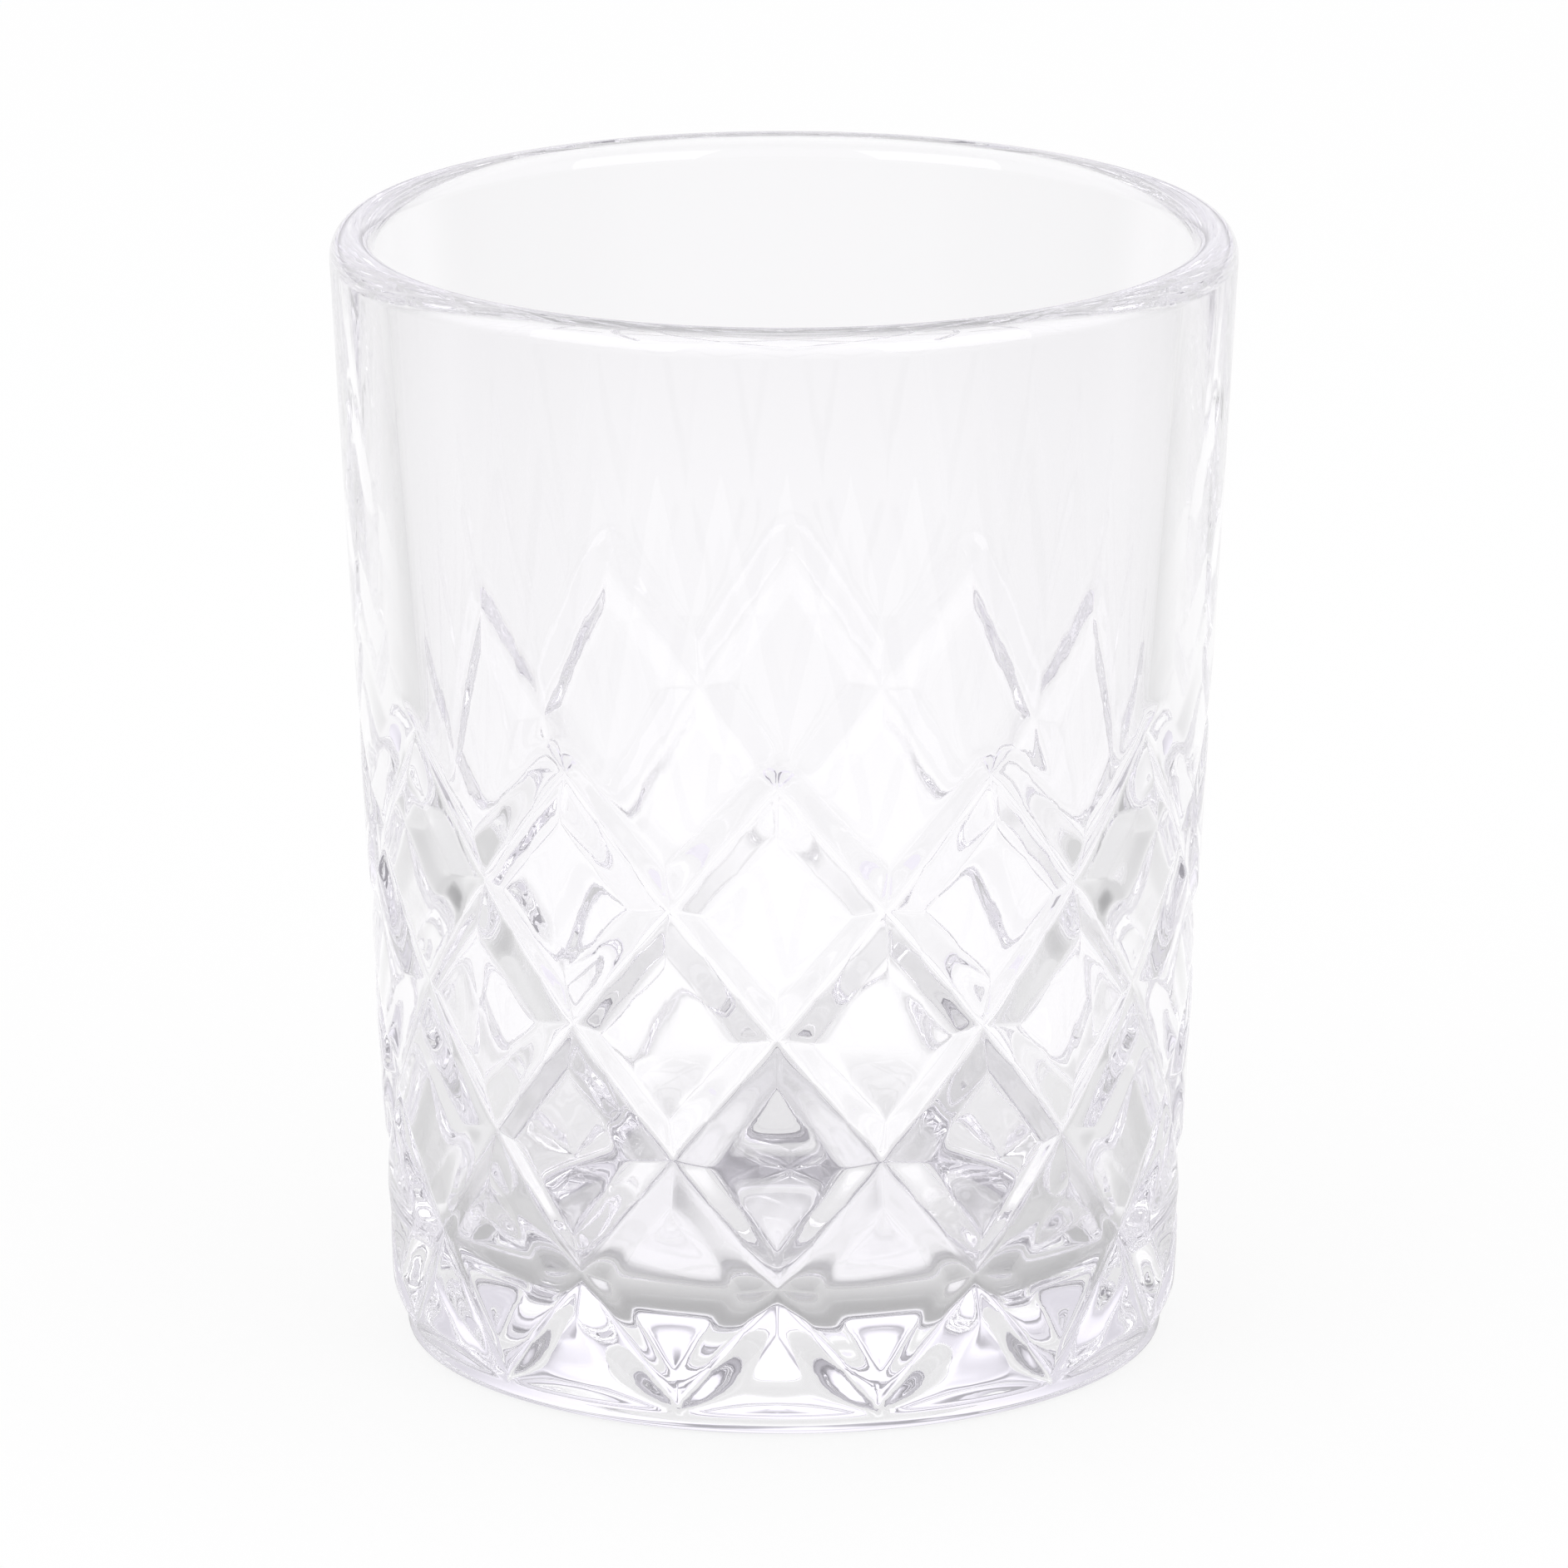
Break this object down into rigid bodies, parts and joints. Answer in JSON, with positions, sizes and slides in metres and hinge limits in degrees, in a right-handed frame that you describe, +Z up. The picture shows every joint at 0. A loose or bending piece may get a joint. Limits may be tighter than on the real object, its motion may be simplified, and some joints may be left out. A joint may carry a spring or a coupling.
{
  "type": "rocks glass",
  "caption": "Tapered tumbler of clear pressed glass with a round rim, a thick base and a band of raised diamonds between crossed V grooves, for short drinks.",
  "frame": {"origin": "centre of the foot, on the surface that the glass stands on", "axes": "+Z up along the axis of the glass, -Y towards the viewer of the picture, +X to the viewer's right"},
  "size_m": [0.08, 0.08, 0.1006],
  "materials": {
    "clear_glass": "clear, smooth and fire-polished"
  },
  "bodies": {
    "root": {"tumbler": "clear_glass"}
  },
  "joints": []
}
